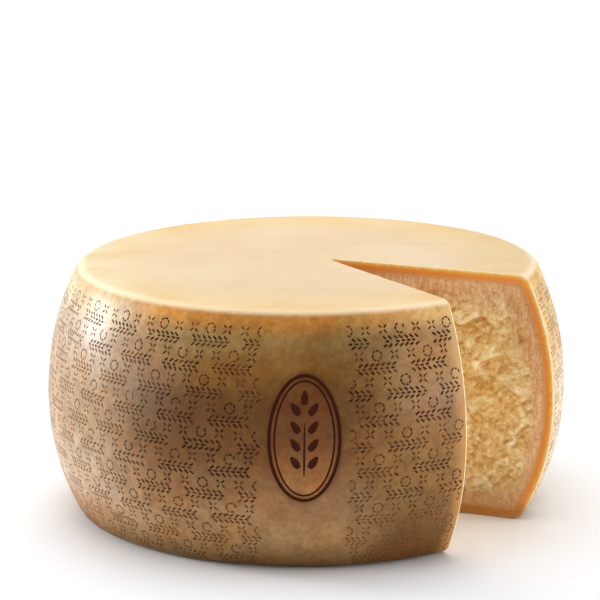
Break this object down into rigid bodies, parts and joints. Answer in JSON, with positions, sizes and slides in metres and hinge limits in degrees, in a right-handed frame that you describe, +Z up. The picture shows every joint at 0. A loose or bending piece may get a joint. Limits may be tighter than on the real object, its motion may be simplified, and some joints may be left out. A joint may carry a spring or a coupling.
{
  "type": "hard cheese wheel",
  "caption": "Tall barrel-shaped wheel of hard aged cheese with a golden marked rind, flat top and base, and a wedge-shaped notch with flaky broken walls.",
  "frame": {"origin": "middle of the flat underside, on the surface that the wheel stands on", "axes": "+Z up along the wheel's axis, -Y towards the front, +X to the right; the notch opens towards +X and -Y"},
  "size_m": [0.441, 0.439, 0.2115],
  "materials": {
    "rind": "satin, waxy, mottled golden tan",
    "paste": "matte, flaky and granular straw yellow, orange next to the rind"
  },
  "bodies": {
    "root": {"cheese_wheel": "rind"}
  },
  "joints": []
}
